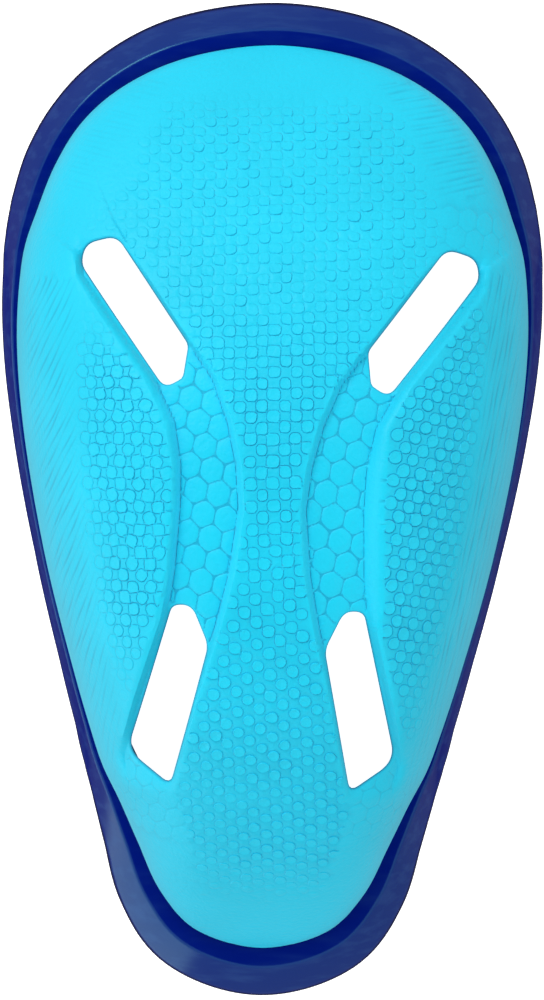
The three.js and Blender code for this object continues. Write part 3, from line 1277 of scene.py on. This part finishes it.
@dataclass
class Cup:
    """The moulded cup: a relief face, a plain inside, four vent slots and a skirt that the rim holds."""

    form: CupForm
    edge_points: int = 460
    inside_step: float = 3.2
    slot_draft: float = 0.7
    sharp_deg: float = 34.0
    slot_rounds: int = 6
    edge_slack: float = 0.02
    weld: float = 1e-5
    groove_layer: str = "groove_mm"
    slots: list[VentSlot] = field(init=False)

    def __post_init__(self) -> None:
        """Places the four slots."""
        tables = (UPPER_SLOT, LOWER_SLOT)
        self.slots = [VentSlot(self.form, corners, side) for corners in tables for side in (1, -1)]

    def build(self) -> bpy.types.Object:
        """Builds the whole cup as one closed shell.

        Returns:
            The finished object.
        """
        chance = np.random.default_rng(SEED)
        face = FaceMap(self.form, self.slots)
        edge = self.form.to_sheet(spaced(self.form.outline, self.edge_points))
        relief = Relief()
        rounding = EdgeRelief()
        borders = [edge, *(self.form.to_sheet(slot.outline) for slot in self.slots)]
        relief.add(edge, 0.0)
        # Each slot's edge drops below the face, and its full depth takes the darkest colour: painted shade as
        # a dark line round each slot
        for border in borders[1:]:
            relief.add(border, -rounding.slot_drop)
        rounding.draw_slot_lips(relief, face)
        rounding.draw_walls(relief, face)
        rounding.draw_corner_crease(relief, face)
        for pattern in face_patterns():
            count = pattern.draw(relief, face, chance)
            LOG.info("%s: %d drawn", type(pattern).__name__, count)
        rounding.draw_ground(relief, face, edge)
        LOG.info("cup face: %d places", len(relief.all_places()))
        bm = bmesh.new()
        bm.verts.layers.float.new(self.groove_layer)
        self._skin(bm, relief.all_places(), borders, relief)
        self._skin(bm, *self._inside_places(edge), None)
        self._close(bm)
        return new_object("cup_shell", bm, self.sharp_deg)

    def _inside_places(self, edge: np.ndarray) -> tuple[np.ndarray, list[np.ndarray]]:
        """Spreads places for the plain inside, with each slot straight behind its opening.

        Args:
            edge: the cup's edge on the sheet.

        Returns:
            All the places, and the borders among them.
        """
        borders = [edge]
        for slot in self.slots:
            behind = slot.outline + slot.out * self.slot_draft
            plan = behind.copy()
            for _ in range(self.slot_rounds):
                plan = behind + self.form.normals(self.form.to_sheet(plan))[:, :2] * self.form.wall
            borders.append(self.form.to_sheet(plan))
        u = np.arange(-SHEET_HALF, SHEET_HALF, self.inside_step)
        v = np.arange(self.form.rows_v[0], self.form.rows_v[-1], self.inside_step)
        grid = np.column_stack([g.ravel() for g in np.meshgrid(u, v)])
        grid = grid[self.form.edge_u(grid[:, 1]) - np.abs(grid[:, 0]) > self.inside_step / 2]
        return np.concatenate([*borders, grid]), borders

    def _skin(
        self,
        bm: bmesh.types.BMesh,
        places: np.ndarray,
        borders: list[np.ndarray],
        relief: Relief | None,
    ) -> None:
        """Triangulates places on the sheet, rolls them up and adds them to the shape.

        Args:
            bm: the shape.
            places: u and v; the borders come first, in order.
            borders: the cup's edge, then the slots' edges.
            relief: what the face carries, or None for the plain inside, a wall's thickness below the dome.
        """
        rings = []
        start = 0
        for border in borders:
            count = len(border)
            rings += [(start + i, start + (i + 1) % count) for i in range(count)]
            start += count
        points = [Vector(place) for place in places]
        flat, _, triangles, origin, _, _ = delaunay_2d_cdt(points, rings, [], 0, self.weld)
        sheet = np.array(flat)
        corners = np.array(triangles)
        middle = sheet[corners].mean(axis=1)
        keep = np.abs(middle[:, 0]) < self.form.edge_u(middle[:, 1]) + self.edge_slack
        for border in borders[1:]:
            keep &= ~inside_loop(border, middle)
        source = [found[0] if found else -1 for found in origin]
        dome = self.form.surface(sheet)
        level = np.full(len(sheet), -self.form.wall)
        groove = np.zeros(len(sheet))
        lift = np.zeros(len(sheet))
        if relief:
            level = np.append(relief.all_heights(), 0.0)[source]
            groove = np.append(relief.all_groove_shades(), 0.0)[source]
            lift = self.form.lift(dome[:, :2])
        spot = dome + self.form.normals(sheet) * level[:, None]
        spot[:, 2] += lift
        layer = bm.verts.layers.float[self.groove_layer]
        verts = [bm.verts.new(place) for place in spot]
        for vert, value in zip(verts, groove):
            vert[layer] = value
        for a, b, c in corners[keep]:
            order = (a, b, c) if relief else (a, c, b)
            bm.faces.new([verts[i] for i in order])
        loose = [vert for vert in verts if not vert.link_faces]
        bmesh.ops.delete(bm, geom=loose, context="VERTS")

    def _close(self, bm: bmesh.types.BMesh) -> None:
        """Joins face and inside through the slots and round the skirt.

        Args:
            bm: the shape with its two open skins.
        """
        loops = sorted(boundary_loops(bm), key=len, reverse=True)
        edges = sorted(loops[:2], key=lambda loop: max(v.co.z for e in loop for v in e.verts), reverse=True)
        slots = loops[2:]
        while slots:
            first = slots.pop()
            here = loop_middle(first)
            second = min(slots, key=lambda loop: (loop_middle(loop) - here).length)
            slots.remove(second)
            bmesh.ops.bridge_loops(bm, edges=first + second)
        outer, inner = edges
        skirt = ((self.form.ledge, self.form.edge_z), (self.form.ledge, self.form.skirt_bottom_z))
        foot = (self.form.ledge + self.form.wall, self.form.skirt_bottom_z)
        for inset, z in (*skirt, foot):
            grown = bmesh.ops.extrude_edge_only(bm, edges=outer)["geom"]
            outer = [item for item in grown if isinstance(item, bmesh.types.BMEdge)]
            verts = [item for item in grown if isinstance(item, bmesh.types.BMVert)]
            self._seat(verts, inset, z)
        bmesh.ops.bridge_loops(bm, edges=outer + inner)
        bmesh.ops.recalc_face_normals(bm, faces=bm.faces)

    def _seat(self, verts: list[bmesh.types.BMVert], inset: float, z: float) -> None:
        """Moves a loop of points to an inset of the cup's outline at one height.

        Args:
            verts: the loop's points, each near its own place on the outline.
            inset: distance inside the outline.
            z: height.
        """
        outline = spaced(self.form.outline, self.edge_points)
        seats = outline - left_of(outline) * inset
        spots = np.array([vert.co[:2] for vert in verts])
        nearest = np.argmin(np.linalg.norm(spots[:, None] - outline[None], axis=2), axis=1)
        for vert, i in zip(verts, nearest):
            vert.co = (*seats[i], z)

    def dress(self, piece: bpy.types.Object) -> None:
        """Gives the cup its finish and its place in the frame.

        Args:
            piece: the cup's finished object.
        """
        piece.data.materials.append(MouldedFoam().material(self.groove_layer))
        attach(piece, "root")
        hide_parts("cup")


@dataclass
class Rim:
    """The soft rim: one section swept round the cup's edge, its width changing on the way."""

    form: CupForm
    stations: int = 420
    fit_gap: float = 0.3
    lip_share: float = 0.37
    bulge_z: float = 4.6
    shoulder_share: float = 0.96
    shoulder_up: float = 0.6
    side_down: float = 1.2
    foot_share: float = 0.9
    inner_reach: float = 1.2
    inner_top_z: float = 6.5
    round_steps: int = 5
    round_most: float = 0.45
    weld: float = 1e-4
    sweep_layer: str = "sweep"

    def section(self, width: float) -> np.ndarray:
        """Section of the rim for one width.

        Args:
            width: how far the rim stands outside the cup's edge.

        Returns:
            Distance out from the cup's edge and height, a row for each point, closing on itself.
        """
        form = self.form
        lip_z = form.edge_z - self.fit_gap
        groove_out = -form.ledge + self.fit_gap
        groove_in = -form.ledge - form.wall - self.fit_gap
        groove_z = form.skirt_bottom_z - self.fit_gap
        inner = groove_in - self.inner_reach
        # Distance out, height and how far from the corner its rounding starts
        corners = (
            (groove_out, lip_z, 0.15),
            (self.lip_share * width, lip_z, 0.45),
            (self.shoulder_share * width, self.bulge_z + self.shoulder_up, 0.9),
            (width, self.bulge_z - self.side_down, 0.8),
            (self.foot_share * width, 0.0, 0.6),
            (inner, 0.0, 0.8),
            (inner, self.inner_top_z, 0.7),
            (groove_in, self.inner_top_z, 0.3),
            (groove_in, groove_z, 0.1),
            (groove_out, groove_z, 0.1),
        )
        points = np.array([c[:2] for c in corners])
        bends = []
        for i, corner in enumerate(points):
            before = points[i - 1] - corner
            after = points[(i + 1) % len(points)] - corner
            reach = corners[i][2]
            start = corner + before * min(reach / np.linalg.norm(before), self.round_most)
            end = corner + after * min(reach / np.linalg.norm(after), self.round_most)
            bends.append(bend(start, corner, end, self.round_steps))
        return np.concatenate(bends)

    def build(self) -> bpy.types.Object:
        """Sweeps the section round the cup's edge.

        Returns:
            The finished object.
        """
        outline = spaced(self.form.outline, self.stations)
        out = left_of(outline)
        rows_y = [row.y for row in reversed(OUTLINE)]
        widths = np.interp(outline[:, 1], rows_y, [row.rim for row in reversed(OUTLINE)])
        sections = [self.section(width) for width in widths]
        points = len(sections[0])
        bm = bmesh.new()
        bm.loops.layers.uv.new(self.sweep_layer)
        bmesh.ops.create_grid(bm, x_segments=self.stations, y_segments=points, size=1.0, calc_uvs=True)
        for vert in bm.verts:
            i = round((vert.co.x + 1.0) / 2.0 * self.stations) % self.stations
            j = round((vert.co.y + 1.0) / 2.0 * points) % points
            reach, z = sections[i][j]
            vert.co = (*(outline[i] + out[i] * reach), z)
        bmesh.ops.remove_doubles(bm, verts=bm.verts, dist=self.weld)
        bmesh.ops.recalc_face_normals(bm, faces=bm.faces)
        return new_object("soft_rim", bm)

    def dress(self, piece: bpy.types.Object) -> None:
        """Gives the rim its finish and its place in the frame.

        Args:
            piece: the rim's finished object.
        """
        piece.data.materials.append(GlossVinyl().material(self.sweep_layer))
        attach(piece, "root")
        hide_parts("rim")


# Finishes

def add_node(
    tree: bpy.types.NodeTree, kind: str, settings: dict[str, Any] | None = None, **inputs: Any
) -> bpy.types.Node:
    """Adds a node with its settings, values and links.

    Args:
        tree: the material's node tree.
        kind: the node's type name.
        settings: attributes of the node.
        inputs: socket names, with _ for a space, and a value or an output socket to link from.

    Returns:
        The node.
    """
    node = tree.nodes.new(kind)
    for name, value in (settings or {}).items():
        setattr(node, name, value)
    for name, value in inputs.items():
        socket = node.inputs[name.replace("_", " ")]
        if isinstance(value, bpy.types.NodeSocket):
            tree.links.new(value, socket)
        else:
            socket.default_value = value
    return node


def colour_stops(ramp: bpy.types.Node, stops: Iterable[tuple[float, tuple[float, ...]]]) -> None:
    """Gives a colour ramp its stops.

    Args:
        ramp: the ramp's node.
        stops: places from 0 to 1, in order, each with its linear colour.
    """
    stops = list(stops)
    elements = ramp.color_ramp.elements
    while len(elements) < len(stops):
        elements.new(1.0)
    for element, (place, colour) in zip(elements, stops):
        element.position = place
        element.color = colour


def grey_stops(levels: tuple[tuple[float, float], ...]) -> list[tuple[float, tuple[float, ...]]]:
    """Turns places, each with a brightness, into stops of a grey colour ramp."""
    return [(place, (level, level, level, 1.0)) for place, level in levels]


def new_material(name: str) -> bpy.types.Material:
    """Makes a material with an empty node tree.

    Args:
        name: the material's name.

    Returns:
        The material.
    """
    material = bpy.data.materials.new(name)
    material.use_nodes = True
    material.node_tree.nodes.clear()
    return material


@dataclass(frozen=True)
class MouldedFoam:
    """Compression-moulded foam rubber: an even satin skin, with painted shade that darkens it in the mould's
    grooves and at the slots' cut edges.
    """

    skin: str = "#06D5F6"
    # Painted shade: the two colours after the skin darken grooves and the slots' cut edges in place of the
    # shade that falls there
    groove: str = "#00A6CE"
    deepest_shade: str = "#006A84"
    roughness: float = 0.48
    shine: float = 0.3
    bloom: float = 0.16
    groove_shade_mm: float = 0.12
    deepest_shade_mm: float = 0.35
    grain_mm: float = 0.8
    grain_depth_mm: float = 0.18
    grain_strength: float = 0.7
    cloud_mm: float = 22.0
    cloud_span: tuple[float, float] = (0.3, 0.7)
    cloud_shade: tuple[float, float] = (0.96, 1.04)
    noise_detail: float = 2.0
    ior: float = 1.48
    bloom_roughness: float = 0.5

    def material(self, groove_layer: str) -> bpy.types.Material:
        """Builds the material.

        Args:
            groove_layer: the piece's attribute that holds, in millimetres, the depth that painted groove
                shade darkens.

        Returns:
            The material.
        """
        material = new_material("moulded_foam_cyan")
        tree = material.node_tree
        place = add_node(tree, "ShaderNodeTexCoord").outputs["Object"]
        groove = add_node(tree, "ShaderNodeAttribute", {"attribute_name": groove_layer}).outputs["Fac"]
        # Slow clouds, as the pigment is never mixed quite evenly, and the fine grain of the mould's wall
        detail = self.noise_detail
        cloud, grain = (
            add_node(tree, "ShaderNodeTexNoise", Vector=place, Scale=1.0 / (size * MM), Detail=detail)
            for size in (self.cloud_mm, self.grain_mm)
        )
        # Painted shade: the deeper a place lies in a groove or at a slot's cut edge, the darker its colour
        depth = add_node(tree, "ShaderNodeMapRange", Value=groove, From_Min=0.0, From_Max=self.deepest_shade_mm)
        tint = add_node(tree, "ShaderNodeValToRGB", Fac=depth.outputs["Result"])
        colour_stops(
            tint,
            (
                (0.0, linear_colour(self.skin)),
                (self.groove_shade_mm / self.deepest_shade_mm, linear_colour(self.groove)),
                (1.0, linear_colour(self.deepest_shade)),
            ),
        )
        shade = add_node(
            tree,
            "ShaderNodeMapRange",
            Value=cloud.outputs["Fac"],
            From_Min=self.cloud_span[0],
            From_Max=self.cloud_span[1],
            To_Min=self.cloud_shade[0],
            To_Max=self.cloud_shade[1],
        )
        varied = add_node(
            tree,
            "ShaderNodeHueSaturation",
            Value=shade.outputs["Result"],
            Color=tint.outputs["Color"],
        )
        bump = add_node(
            tree,
            "ShaderNodeBump",
            Height=grain.outputs["Fac"],
            Strength=self.grain_strength,
            Distance=self.grain_depth_mm * MM,
        )
        skin = add_node(
            tree,
            "ShaderNodeBsdfPrincipled",
            Base_Color=varied.outputs["Color"],
            Roughness=self.roughness,
            IOR=self.ior,
            Specular_IOR_Level=self.shine,
            Sheen_Weight=self.bloom,
            Sheen_Roughness=self.bloom_roughness,
            Normal=bump.outputs["Normal"],
        )
        add_node(tree, "ShaderNodeOutputMaterial", Surface=skin.outputs["BSDF"])
        return material


@dataclass(frozen=True)
class GlossVinyl:
    """Soft injection-moulded vinyl: deep navy and glossy, with smeared scuffs on its outer band.

    Painted shade darkens its rounded outer edge, where it turns away from the light, and its steep sides
    mirror little, so the sides stay deep in colour.
    """

    navy: str = "#00167A"
    gleam: str = "#98FFFF"
    scuff: str = "#2A4A92"
    shade: str = "#000A3C"
    roughness: float = 0.16
    scuff_mm: float = 2.2
    scuff_turn: float = 0.35
    scuff_stretch: tuple[float, float, float] = (0.2, 1.0, 1.0)
    scuff_detail: float = 4.0
    scuff_span: tuple[float, float] = (0.48, 0.74)
    scuff_lip: float = 0.1
    scuff_band: float = 0.4
    scuff_depth_mm: float = 0.1
    scuff_strength: float = 0.1
    band_from: tuple[float, float] = (0.14, 0.18)
    haze_span: tuple[float, float] = (0.35, 0.75)
    haze: float = 0.1
    edge_shade_stops: tuple[tuple[float, float], ...] = ((0.22, 0.0), (0.25, 1.0), (0.37, 1.0), (0.4, 0.0))
    shine: float = 0.42
    dull: float = 0.02
    steep_span: tuple[float, float] = (0.42, 0.62)
    ior: float = 1.53

    def material(self, sweep_layer: str) -> bpy.types.Material:
        """Builds the material.

        Args:
            sweep_layer: the piece's UV map, whose V runs round the section from the lip's inner edge.

        Returns:
            The material.
        """
        material = new_material("gloss_vinyl_navy")
        tree = material.node_tree
        place = add_node(tree, "ShaderNodeTexCoord").outputs["Object"]
        turned = add_node(
            tree,
            "ShaderNodeMapping",
            Vector=place,
            Rotation=(0.0, 0.0, self.scuff_turn),
            Scale=self.scuff_stretch,
        )
        scuff = add_node(
            tree,
            "ShaderNodeTexNoise",
            Vector=turned.outputs["Vector"],
            Scale=1.0 / (self.scuff_mm * MM),
            Detail=self.scuff_detail,
        )
        gloss = add_node(
            tree,
            "ShaderNodeMapRange",
            Value=scuff.outputs["Fac"],
            From_Min=self.haze_span[0],
            From_Max=self.haze_span[1],
            To_Min=self.roughness,
            To_Max=self.roughness + self.haze,
        )
        sweep = add_node(tree, "ShaderNodeUVMap", {"uv_map": sweep_layer}).outputs["UV"]
        at = add_node(tree, "ShaderNodeSeparateXYZ", Vector=sweep).outputs["Y"]
        band = add_node(
            tree,
            "ShaderNodeMapRange",
            Value=at,
            From_Min=self.band_from[0],
            From_Max=self.band_from[1],
            To_Min=self.scuff_lip,
            To_Max=self.scuff_band,
        )
        worn = add_node(
            tree,
            "ShaderNodeMapRange",
            Value=scuff.outputs["Fac"],
            From_Min=self.scuff_span[0],
            From_Max=self.scuff_span[1],
            To_Max=band.outputs["Result"],
        )
        smear = add_node(
            tree,
            "ShaderNodeMix",
            {"data_type": "RGBA"},
            Factor=worn.outputs["Result"],
            A=linear_colour(self.navy),
            B=linear_colour(self.scuff),
        )
        # Painted shade: a dark band across the rounded outer edge of the section in place of the shade where
        # the rim turns away; it also dulls the gloss there
        edge = add_node(tree, "ShaderNodeValToRGB", Fac=at)
        colour_stops(edge, grey_stops(self.edge_shade_stops))
        rounded = add_node(
            tree,
            "ShaderNodeMix",
            {"data_type": "RGBA"},
            Factor=edge.outputs["Color"],
            A=smear.outputs["Result"],
            B=linear_colour(self.shade),
        )
        facing = add_node(tree, "ShaderNodeLayerWeight").outputs["Facing"]
        steep = add_node(
            tree,
            "ShaderNodeMapRange",
            Value=facing,
            From_Min=self.steep_span[0],
            From_Max=self.steep_span[1],
            To_Min=self.shine,
            To_Max=self.dull,
        )
        shine = add_node(
            tree,
            "ShaderNodeMapRange",
            Value=edge.outputs["Color"],
            To_Min=steep.outputs["Result"],
            To_Max=self.dull,
        )
        bump = add_node(
            tree,
            "ShaderNodeBump",
            Height=scuff.outputs["Fac"],
            Strength=self.scuff_strength,
            Distance=self.scuff_depth_mm * MM,
        )
        vinyl = add_node(
            tree,
            "ShaderNodeBsdfPrincipled",
            Base_Color=rounded.outputs["Result"],
            Roughness=gloss.outputs["Result"],
            IOR=self.ior,
            Specular_IOR_Level=shine.outputs["Result"],
            Specular_Tint=linear_colour(self.gleam),
            Normal=bump.outputs["Normal"],
        )
        add_node(tree, "ShaderNodeOutputMaterial", Surface=vinyl.outputs["BSDF"])
        return material


@dataclass(frozen=True)
class LitFloor:
    """White light-table acrylic: pale and evenly lit from below, so openings show white."""

    white: str = "#F4F4F4"
    glow: float = 1.12
    roughness: float = 0.6

    def material(self) -> bpy.types.Material:
        """Builds the material.

        Returns:
            The material.
        """
        material = new_material("light_table_acrylic")
        tree = material.node_tree
        sheet = add_node(
            tree,
            "ShaderNodeBsdfPrincipled",
            Base_Color=linear_colour(self.white),
            Roughness=self.roughness,
            Emission_Color=linear_colour(self.white),
            Emission_Strength=self.glow,
        )
        add_node(tree, "ShaderNodeOutputMaterial", Surface=sheet.outputs["BSDF"])
        return material


# Studio

class Shows(Enum):
    """How a lamp shows on the guard: by the light it throws, as a mirror image in the gloss, or both."""

    LIGHT = 0
    IMAGE = 1
    BOTH = 2


@dataclass(frozen=True)
class SoftBox:
    """A soft rectangular lamp aimed at the middle of the guard."""

    name: str
    place: tuple[float, float, float]
    size: tuple[float, float]
    watts: float
    shows: Shows = Shows.BOTH

    def build(self, aim: Vector) -> None:
        """Hangs the lamp and aims it.

        Args:
            aim: the place that it lights, in metres.
        """
        lamp = bpy.data.lights.new(self.name, "AREA")
        lamp.shape = "RECTANGLE"
        lamp.size, lamp.size_y = (side * MM for side in self.size)
        lamp.energy = self.watts
        holder = bpy.data.objects.new(self.name, lamp)
        holder.location = Vector(self.place) * MM
        holder.visible_camera = False
        holder.visible_diffuse = self.shows is not Shows.IMAGE
        holder.visible_glossy = self.shows is not Shows.LIGHT
        holder.rotation_mode = "QUATERNION"
        holder.rotation_quaternion = (aim - holder.location).to_track_quat("-Z", "Y")
        bpy.context.scene.collection.objects.link(holder)


@dataclass
class Studio:
    """Floor, lamps, surroundings and the camera at the photograph's viewing angle."""

    floor_side: float = 6000.0
    floor_z: float = -0.05
    lamp_aim: tuple[float, float, float] = (0.0, 0.0, 20.0)
    camera_distance: float = 900.0
    camera_yaw_deg: float = 0.7
    camera_pitch_deg: float = 5.0
    camera_roll_deg: float = 1.05
    camera_aim: tuple[float, float, float] = (0.56, 0.6, 4.0)
    picture_height_px: float = 1000.0
    focal_px: float = 5132.0
    sensor: float = 36.0
    clip_start: float = 10.0
    sky: tuple[tuple[float, float], ...] = (
        (0.05, 0.03),
        (0.09, 0.42),
        (0.48, 0.56),
        (0.6, 0.66),
        (0.75, 0.94),
        (0.93, 1.28),
        (0.97, 0.02),
    )
    lamps: tuple[SoftBox, ...] = (
        SoftBox("key_upper_left", (-400.0, 600.0, 540.0), (360.0, 360.0), 2.3),
        SoftBox("fill_lower_left", (-480.0, -400.0, 130.0), (460.0, 300.0), 0.45, Shows.LIGHT),
        SoftBox("card_lower_left", (-520.0, -330.0, 60.0), (900.0, 500.0), 2.2, Shows.IMAGE),
        SoftBox("card_upper_left", (-300.0, 560.0, 60.0), (900.0, 400.0), 0.25, Shows.IMAGE),
    )

    def build(self) -> None:
        """Builds everything round the guard."""
        self._floor()
        for lamp in self.lamps:
            lamp.build(Vector(self.lamp_aim) * MM)
        self._surroundings()
        self._camera()
        bpy.context.scene.view_settings.view_transform = "Standard"

    def _floor(self) -> None:
        """Lays the pale floor a hair below the rim's back, so that the two never share a plane."""
        bm = bmesh.new()
        bmesh.ops.create_grid(bm, x_segments=1, y_segments=1, size=self.floor_side / 2)
        bmesh.ops.translate(bm, vec=(0.0, 0.0, self.floor_z), verts=bm.verts)
        floor = new_object("floor", bm)
        floor.data.materials.append(LitFloor().material())
        floor.visible_glossy = False
        floor.visible_diffuse = False

    def _surroundings(self) -> None:
        """Sets a white tent all round, with a dark gap overhead where the camera looks through."""
        world = bpy.data.worlds.new("studio")
        world.use_nodes = True
        tree = world.node_tree
        tree.nodes.clear()
        towards = add_node(tree, "ShaderNodeTexCoord").outputs["Generated"]
        height = add_node(tree, "ShaderNodeSeparateXYZ", Vector=towards).outputs["Z"]
        share = add_node(tree, "ShaderNodeMapRange", Value=height, From_Min=-1.0, From_Max=1.0)
        ramp = add_node(tree, "ShaderNodeValToRGB", Fac=share.outputs["Result"])
        colour_stops(ramp, grey_stops(self.sky))
        back = add_node(tree, "ShaderNodeBackground", Color=ramp.outputs["Color"])
        add_node(tree, "ShaderNodeOutputWorld", Surface=back.outputs["Background"])
        bpy.context.scene.world = world

    def _camera(self) -> None:
        """Sets the camera over the face, turned and tilted as the photograph is."""
        yaw, pitch = math.radians(self.camera_yaw_deg), math.radians(self.camera_pitch_deg)
        back = Vector((-math.sin(yaw) * math.cos(pitch), math.sin(pitch), math.cos(yaw) * math.cos(pitch)))
        lens = bpy.data.cameras.new("camera")
        lens.sensor_width = self.sensor
        lens.lens = self.focal_px / self.picture_height_px * self.sensor
        lens.clip_start = self.clip_start * MM
        camera = bpy.data.objects.new("camera", lens)
        right = Vector((0.0, 1.0, 0.0)).cross(back).normalized()
        up = back.cross(right)
        axes = Matrix((right, up, back)).transposed()
        roll = Matrix.Rotation(math.radians(self.camera_roll_deg), 3, "Z")
        place = (Vector(self.camera_aim) + back * self.camera_distance) * MM
        camera.matrix_world = Matrix.Translation(place) @ (axes @ roll).to_4x4()
        bpy.context.scene.collection.objects.link(camera)
        bpy.context.scene.camera = camera


def main() -> None:
    """Builds the guard's pieces in order, then the studio round them."""
    logging.basicConfig(level=logging.INFO, format="%(name)s: %(message)s")
    form = CupForm()
    for maker in (Cup(form), Rim(form)):
        piece = maker.build()
        maker.dress(piece)
        LOG.info("%s: %d faces", piece.name, len(piece.data.polygons))
    Studio().build()


if __name__ == "__main__":
    main()
